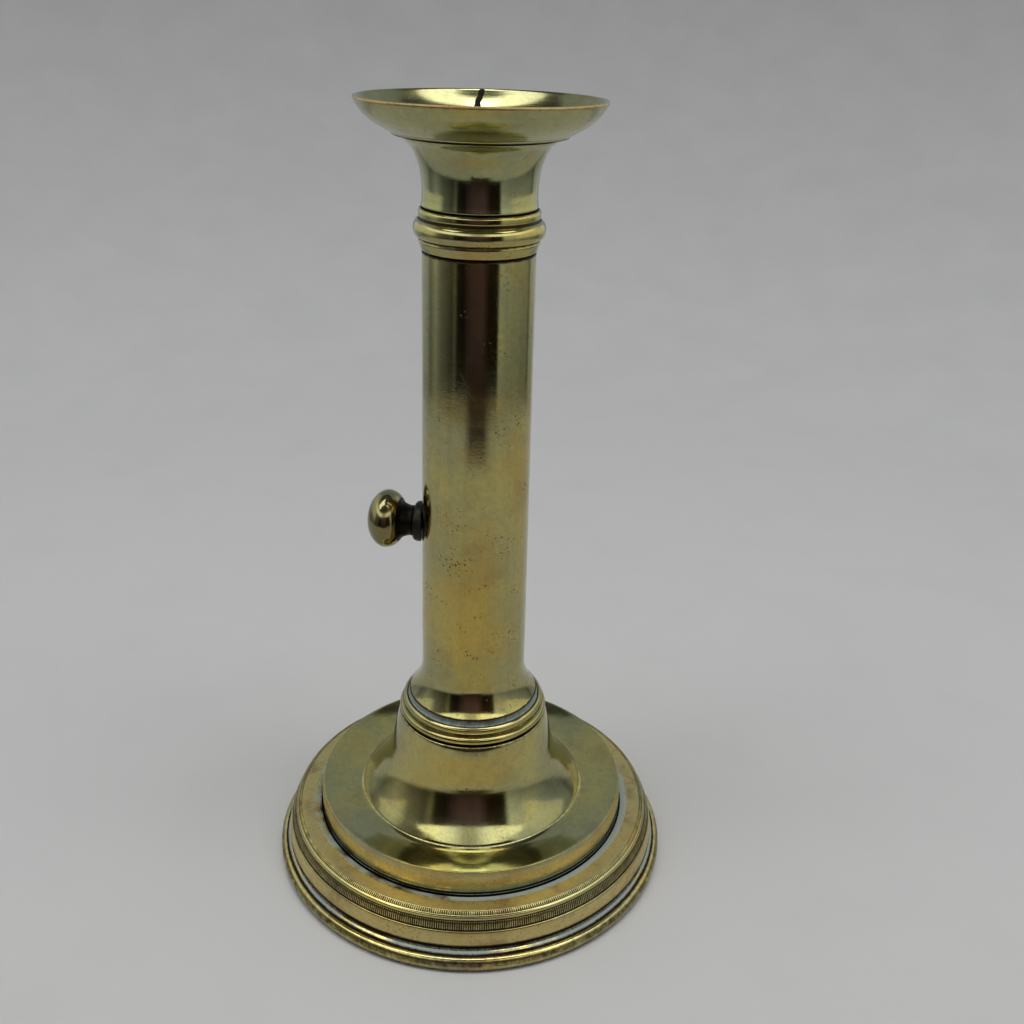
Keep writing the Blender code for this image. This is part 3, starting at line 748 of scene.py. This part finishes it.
@dataclass
class Socket:
    """Flared neck and the spun drip pan on top of it."""

    segments: int = 224
    pan_wall: float = 1.1

    def neck_outline(self) -> np.ndarray:
        """Outline of the neck: flare, waist, spigot and bore."""
        corners = [
            (16.9, 188.0, 0.1, 0.8), (17.3, 187.85, 0.15, 0.3), (16.7, 187.3, 0.4), (15.6, 186.5, 2.0),
            (14.5, 184.9, 2.0), (13.75, 183.0, 2.0), (13.25, 181.2, 2.0), (12.95, 179.2, 2.0),
            (12.78, 176.9, 2.0), (12.85, 174.6, 1.0), (13.05, 173.6, 0.2, 0.3), (12.9, 173.3, 0.05, 1.0),
            (12.25, 173.3, 0.05, 1.0), (12.25, 168.0, 0.05, 0.6), (11.6, 168.0, 0.05, 0.6),
            (11.6, 188.0, 0.1, 0.6, 0.2)]
        return fitted(rounded_outline(corners, True), "socket_neck")

    def pan_outline(self) -> np.ndarray:
        """Outline of the pan: rolled rim, bowl, base and the hole for the candle."""
        corners = [
            (26.5, 195.75, 0.2), (26.9, 196.0, 0.2, 0, 0, 0.1), (27.25, 195.95, 0.15, 0, 0, 0.72),
            (27.35, 195.5, 0.2, 0.42, 0, 0.6), (26.95, 194.75, 0.8, 0.1, 0, 0.1), (25.9, 193.1, 2.0),
            (24.3, 191.5, 2.0), (22.0, 190.0, 2.0), (20.4, 189.15, 1.0), (19.5, 188.75, 0.3, 0.2),
            (19.25, 188.3, 0.1, 1.0), (11.9, 188.3, 0.1, 0.8), (11.9, 189.4, 0.3, 0.5),
            (19.3, 189.5, 0.8, 0.25), (21.6, 190.95, 2.0, 0.1), (23.8, 192.4, 2.0), (25.3, 194.0, 2.0)]
        return fitted(rounded_outline(corners, True, 6), "drip_pan")

    def build(self, finishes: Finishes) -> None:
        """Make the neck and the pan, and dress them.

        Args:
            finishes: the shared materials.
        """
        dress(turned_piece("socket_neck_turned", self.neck_outline(), self.segments), finishes.neck, "socket_neck")
        dress(turned_piece("drip_pan_spun", self.pan_outline(), self.segments), finishes.pan, "drip_pan")


@dataclass
class Pusher:
    """Knob and saddle washer outside the stem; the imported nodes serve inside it."""

    segments: int = 96
    stem_clearance: float = 13.7

    def knob_outline(self) -> np.ndarray:
        """Outline of the knob along its own axis: crown, waist and the blind hole for the shank."""
        corners = [
            (0.0, 27.3, 0), (1.6, 27.25, 0.8), (3.6, 26.85, 1.0), (5.4, 25.9, 1.2), (6.75, 24.5, 1.2),
            (7.38, 23.0, 1.2), (7.2, 21.4, 1.0), (6.4, 19.9, 1.0, 0.3), (5.1, 18.95, 0.7, 0.75),
            (4.4, 18.4, 0.4, 1.0), (4.1, 17.6, 0.8, 1.0), (3.75, 16.7, 0.6, 0.95), (3.85, 15.55, 0.2, 1.0),
            (2.3, 15.55, 0.1, 1.0), (2.3, 19.0, 0.1, 1.0), (0.0, 19.0, 0, 1.0)]
        return fitted(rounded_outline(corners, False, 7), "pusher_knob", Grain.CROSSWISE)

    def lay_along_x(self, piece: Piece, height: float) -> Piece:
        """Turn a piece's mesh so that its own +Z points along -X at a height."""
        piece.data.transform(Matrix.Translation((0.0, 0.0, height)) @ Matrix.Rotation(-math.pi / 2.0, 4, "Y"))
        return piece

    def washer(self, height: float) -> Piece:
        """Saddle washer: a ring whose inner face follows the stem, x = sqrt(R^2 - y^2)."""
        low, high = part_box("knob_washer")
        rim = (high.y - low.y) / 2.0 / MM
        outer = -low.x / MM
        radius = np.array([2.3, 4.3, 4.75, rim - 0.1, rim, rim, rim - 0.05, 2.3])
        depth = np.array([outer, outer, outer - 0.08, outer - 0.45, outer - 0.8, 0.0, 0.0, 0.0])
        angle = np.linspace(0.0, 2.0 * np.pi, self.segments, endpoint=False)[None, :]
        across, up = radius[:, None] * np.sin(angle), radius[:, None] * np.cos(angle)
        saddle = np.sqrt(self.stem_clearance ** 2 - across ** 2)
        out = np.where(depth[:, None] > 0.0, depth[:, None], saddle)
        points = MM * np.stack([-out, across, up + height / MM], axis=-1)
        rows = len(radius)
        return mesh_piece("knob_washer_saddle", points, grid_faces(rows, self.segments, True)[:, ::-1], {})

    def build(self, finishes: Finishes) -> None:
        """Make the knob and its washer, and dress them.

        Args:
            finishes: the shared materials.
        """
        low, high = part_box("pusher_knob")
        height = (low.z + high.z) / 2.0
        knob = turned_piece("pusher_knob_turned", self.knob_outline(), self.segments, closed=False)
        dress(self.lay_along_x(knob, height), finishes.knob, "pusher_knob", Body.PUSHER)
        dress(self.washer(height), finishes.dark, "knob_washer", Body.PUSHER)


@dataclass
class Candle:
    """Burnt-down stub of wax and its charred wick."""

    segments: int = 128

    def stub_outline(self) -> np.ndarray:
        """Outline of the stub: melted hollow, soft rim and plain side."""
        corners = [
            (0.0, 184.5, 0), (1.3, 184.5, 0.1), (1.3, 188.2, 0.4), (3.0, 188.0, 1.0), (6.4, 188.7, 2.0),
            (8.9, 189.6, 1.5), (10.1, 190.5, 0.6), (10.8, 190.3, 0.5), (10.9, 189.0, 0.8), (10.9, 135.7, 0.2),
            (0.0, 135.7, 0)]
        return fitted(rounded_outline(corners, False, 6), "candle_stub")

    def wick(self) -> Piece:
        """Charred wick: a lobed, tapering tube carried along a bowed path.

        The path bows towards -X by a sine and ends leaning to +X; the tube's radius is r (1 + 0.18
        cos(3 a + twist)) times a slow waviness, so that three strands show.

        Returns:
            The new piece.
        """
        low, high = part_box("wick")
        t = np.linspace(0.0, 1.0, 90)[:, None]
        angle = np.linspace(0.0, 2.0 * np.pi, 25)[None, :-1]
        height = low.z / MM + (high.z - low.z) / MM * t
        share = np.maximum(0.0, height - 188.3) / (high.z / MM - 188.3)
        centre = 0.2 * share - 1.05 * np.sin(np.pi * share)
        twist = 26.0 * t + 1.5 * np.sin(9.0 * t)
        rough = (1.0 + 0.18 * np.cos(3.0 * angle + twist) + 0.06 * np.sin(47.0 * t)
                 + 0.05 * np.sin(5.0 * angle - 31.0 * t))
        radius = 0.62 * rough * np.where(t > 0.97, 1.0 - 14.0 * (t - 0.97), 1.0)
        points = MM * np.stack([centre + radius * np.cos(angle), radius * np.sin(angle),
                                np.broadcast_to(height, radius.shape)], axis=-1)
        faces = grid_faces(len(t), angle.shape[1], False)[:, ::-1]
        columns = angle.shape[1]
        ends = [list(range(columns))[::-1], list(range((len(t) - 1) * columns, len(t) * columns))]
        mesh = bpy.data.meshes.new("wick_charred")
        mesh.from_pydata(points.reshape(-1, 3).tolist(), [], faces.tolist() + ends)
        mesh.shade_smooth()
        piece = bpy.data.objects.new("wick_charred", mesh)
        bpy.context.scene.collection.objects.link(piece)
        return piece

    def build(self, finishes: Finishes) -> None:
        """Make the stub and the wick, and dress them.

        Args:
            finishes: the shared materials.
        """
        stub = turned_piece("candle_stub_wax", self.stub_outline(), self.segments, closed=False)
        dress(stub, finishes.wax, "candle_stub", Body.CANDLE)
        dress(self.wick(), finishes.char, "wick", Body.CANDLE)


def finish_inner_nodes(finishes: Finishes) -> None:
    """Give each node of the frame that stays its finish.

    Args:
        finishes: the shared materials.
    """
    kept = {finishes.iron: ("fixing_bolt", "base_washer", "base_nut"),
            finishes.inner: ("push_strip", "spring_leaf"),
            finishes.dark: ("stem_plug", "knob_shank", "shank_rove", "candle_plate", "plate_rivet_lower",
                            "plate_rivet_upper", "spring_rivet")}
    for material, nodes in kept.items():
        for node in nodes:
            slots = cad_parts[node].data.materials
            slots.clear()
            slots.append(material)
            LOG.info("%s keeps its shape and takes %s", node, material.name)


# Studio


@dataclass
class Studio:
    """Pale table that curves up into a backdrop, with soft lamps and a dim room to reflect."""

    azimuth: float = math.radians(10.0)     # the camera stands this far round from the front
    distance: float = 0.25004               # camera to the axis, m
    height: float = 0.21268                 # camera above the table, m
    pitch: float = 0.42604                  # the camera's turns, radians
    yaw: float = 0.03633
    roll: float = 0.02920
    lens: float = 38.775                    # mm
    band_radius: float = 0.365              # distance of the dim room that the metal mirrors, m
    table: str = "D9D9D8"
    # painted shade: the same board's tone high on the wall, darker than on the table
    wall: str = "939396"
    flat_radius: float = 0.33
    curve_radius: float = 0.62
    wall_height: float = 1.7

    def turned(self, x: float, y: float, z: float) -> Vector:
        """A point given as seen by the camera, turned into the frame's own axes."""
        return Matrix.Rotation(self.azimuth, 3, "Z") @ Vector((x, y, z))

    def backdrop(self) -> None:
        """Round table with a wall that curves up all about it."""
        sweep = np.linspace(0.0, np.pi / 2.0, 24)
        radius = np.concatenate([[0.0, self.flat_radius * 0.5],
                                 self.flat_radius + self.curve_radius * np.sin(sweep),
                                 [self.flat_radius + self.curve_radius]])
        height = np.concatenate([[0.0, 0.0], self.curve_radius * (1.0 - np.cos(sweep)), [self.wall_height]])
        outline = np.pad(np.stack([radius, height], axis=1), ((0, 0), (0, len(SURFACE_MARKS))))[::-1]
        piece = turned_piece("table_and_backdrop", outline, 128, closed=False)
        # Matte board: no shine, with a slight cloudiness in its tone, and a painted shade that darkens it from the
        # table's tone to the wall's with height.
        paint = Paint("matte_backdrop_board")
        level = paint.add("SeparateXYZ", {0: paint.place}, 2)
        grain = paint.add("TexNoise", {"Vector": paint.place, "Scale": 30.0, "Detail": 6.0})
        share = paint.add("Math", {0: grain, 1: 0.2, 2: -0.1}, operation="MULTIPLY_ADD")
        # painted shade: the tone darkens with height, from the table's to the wall's
        share = paint.add("Math", {0: level, 1: 2.2, 2: share}, operation="MULTIPLY_ADD", use_clamp=True)
        tone = paint.add("Mix", {0: share, 6: linear(self.table), 7: linear(self.wall)}, 2, data_type="RGBA")
        board = paint.add("BsdfPrincipled", {"Base Color": tone, "Roughness": 0.75})
        piece.data.materials.append(paint.finish(board))

    def reflected_band(self, name: str, rim: tuple[tuple[float, float], tuple[float, float]],
                       stops: tuple[tuple[float, str, float], ...], base: float = 1.0,
                       rise: float = 0.0, fade: float = 0.0) -> None:
        """A curved band of light in front and at the sides, which only reflections see.

        Args:
            name: the band's name.
            rim: distance and height of its first edge and of its second, in metres.
            stops: direction from the camera in degrees, colour and cover, from left to right.
            base: brightness at the table.
            rise: how much brighter the band is higher up.
            fade: height over which it fades in from the table, in metres.
        """
        angle = np.radians(np.linspace(stops[0][0], stops[-1][0], 81) - 90.0) + self.azimuth
        ring = np.stack([np.cos(angle), np.sin(angle)], axis=1)
        points = np.concatenate([np.c_[ring * distance, 0.0 * angle + height] for distance, height in rim])
        panel = mesh_piece(name, points, grid_faces(2, len(angle), False, False), {})
        paint = Paint(name + "_light")
        level = paint.add("SeparateXYZ", {0: paint.place}, 2)
        turned = paint.add("Mapping", {"Vector": paint.place,
                                       "Rotation": (0.0, 0.0, math.pi / 2.0 - self.azimuth)})
        share = paint.add("TexGradient", {"Vector": turned}, 1, gradient_type="RADIAL")
        colour = paint.add("ValToRGB", {0: share})
        ramp = colour.node.color_ramp.elements
        for number, (degrees, code, cover) in enumerate(stops):
            spot = 0.5 + degrees / 360.0
            stop = ramp[number] if number < 2 else ramp.new(spot)
            stop.position, stop.color = spot, (*linear(code)[:3], cover)
        strength = paint.add("MapRange", {"Value": level, "From Min": 0.02, "From Max": 0.20, "To Min": base,
                                          "To Max": base + rise})
        cover = colour.node.outputs["Alpha"]
        if fade:
            soft = paint.add("MapRange", {"Value": level, "From Max": fade})
            cover = paint.add("Math", {0: cover, 1: soft}, operation="MULTIPLY")
        glow = paint.add("Emission", {"Color": colour, "Strength": strength})
        mixed = paint.add("MixShader", {0: cover, 1: paint.add("BsdfTransparent", {}), 2: glow})
        panel.data.materials.append(paint.finish(mixed))
        for ray in ("camera", "diffuse", "transmission", "shadow", "volume_scatter"):
            setattr(panel, "visible_" + ray, False)

    def room(self) -> None:
        """Dim room with a dark figure in the middle, lamps above it, and warm light on the table."""
        figure = ((-150, "A2A8AC", 1), (-122, "9A9FA6", 1), (-112, "6E7276", 1), (-94, "9A9D9E", 1),
                  (-78, "6A6D6E", 1), (-54, "404242", 1), (-47, "62625E", 1), (-42, "201E1A", 1),
                  (-30, "141210", 1), (-14, "42343E", 1), (8, "483842", 1), (20, "1E1614", 1), (38, "1A1612", 1),
                  (43, "A6ABAD", 1), (62, "969B9E", 1), (96, "8A8F94", 1), (114, "7E8488", 1), (120, "5E6266", 1),
                  (128, "9CA2A8", 1), (150, "A2A8AC", 1))
        self.reflected_band("dim_room", ((self.band_radius, 0.0), (self.band_radius, 0.275)), figure,
                            0.78, 1.1, 0.022)
        lamps = ((-150, "B4B4AC", 0), (-110, "D8D6CC", 1), (-70, "FFFFF2", 1), (-24, "FFFFF2", 1),
                 (-8, "B0ADA0", 1), (4, "B0ADA0", 1), (18, "FFFFF2", 1), (66, "FFFFF2", 1), (110, "D8D6CC", 1),
                 (150, "B4B4AC", 0))
        self.reflected_band("row_of_lamps", ((self.band_radius, 0.275), (0.34, 0.39)), lamps, 1.0, 0.8)
        warm = ((-80, "B4B0A2", 0), (-25, "B9AF97", 1), (25, "B9AF97", 1), (80, "B4B0A2", 0))
        self.reflected_band("warm_table_glow", ((0.085, 0.0004), (0.21, 0.0004)), warm)
        skirt = ((-26, "30251F", 0), (-13, "30251F", 0.95), (14, "30251F", 0.95), (28, "30251F", 0))
        self.reflected_band("dark_skirt", ((0.318, 0.0006), (0.363, 0.034)), skirt)
        sides = ((-150, "F0EEDC", 0), (-120, "F0EEDC", 1), (-84, "F0EEDC", 1), (-72, "F0EEDC", 0),
                 (54, "F0EEDC", 0), (70, "F0EEDC", 1), (125, "F0EEDC", 1), (150, "F0EEDC", 0))
        self.reflected_band("lamps_at_the_sides", ((0.36, 0.115), (0.36, 0.275)), sides, 0.6, 0.4)
        behind = ((-180, "9CA3A8", 1), (-115, "9CA3A8", 1), (-85, "9CA3A8", 0), (85, "9CA3A8", 0),
                  (115, "9CA3A8", 1), (180, "9CA3A8", 1))
        self.reflected_band("tent_behind", ((0.60, 0.18), (0.42, 0.62)), behind)

    def lamp(self, name: str, place: tuple[float, float, float], size: tuple[float, float], watts: float) -> None:
        """A white area lamp aimed at the candlestick's middle.

        Args:
            name: the lamp's name.
            place: where it hangs, as the camera sees it, in metres.
            size: width and height in metres.
            watts: its power.
        """
        light = bpy.data.lights.new(name, "AREA")
        light.shape = "RECTANGLE"
        light.size, light.size_y = size
        light.energy = watts
        item = bpy.data.objects.new(name, light)
        item.location = self.turned(*place)
        item.rotation_euler = (Vector((0.0, 0.0, 0.08)) - item.location).to_track_quat("-Z", "Y").to_euler()
        item.visible_camera = False
        bpy.context.scene.collection.objects.link(item)

    def camera(self) -> None:
        """Camera a little above the pan, placed by its distance and height and aimed by its turns."""
        ahead = Vector((math.sin(self.yaw) * math.cos(self.pitch), math.cos(self.yaw) * math.cos(self.pitch),
                        -math.sin(self.pitch)))
        right = Vector((math.cos(self.yaw), -math.sin(self.yaw), 0.0))
        up = right.cross(ahead)
        tilted_right = math.cos(self.roll) * right + math.sin(self.roll) * up
        tilted_up = math.cos(self.roll) * up - math.sin(self.roll) * right
        turn = Matrix.Rotation(self.azimuth, 3, "Z")
        axes = Matrix((turn @ tilted_right, turn @ tilted_up, turn @ -ahead)).transposed()
        lens = bpy.data.cameras.new("camera")
        lens.lens = self.lens
        lens.clip_start = 0.005
        item = bpy.data.objects.new("camera", lens)
        item.matrix_world = Matrix.Translation(self.turned(0.0, -self.distance, self.height)) @ axes.to_4x4()
        bpy.context.scene.collection.objects.link(item)
        bpy.context.scene.camera = item

    def build(self) -> None:
        """Set up the table, the lamps, the world and the camera."""
        self.camera()
        self.backdrop()
        self.room()
        for side, x in (("left", -0.34), ("right", 0.34)):
            self.lamp("ceiling_softbox_" + side, (x, -0.12, 1.25), (0.5, 1.1), 4.8)
        world = bpy.data.worlds.new("studio_air")
        world.use_nodes = True
        air = world.node_tree.nodes["Background"].inputs
        air[0].default_value, air[1].default_value = linear("B8BCBC"), 0.22
        bpy.context.scene.world = world
        bpy.context.scene.view_settings.view_transform = "Standard"


def main() -> None:
    """Build the studio and every sub-assembly in order."""
    logging.basicConfig(level=logging.INFO, format="%(name)s: %(message)s")
    Studio().build()
    finishes = Finishes()
    Foot().build(finishes)
    Stem().build(finishes)
    Socket().build(finishes)
    Pusher().build(finishes)
    Candle().build(finishes)
    finish_inner_nodes(finishes)


if __name__ == "__main__":
    main()
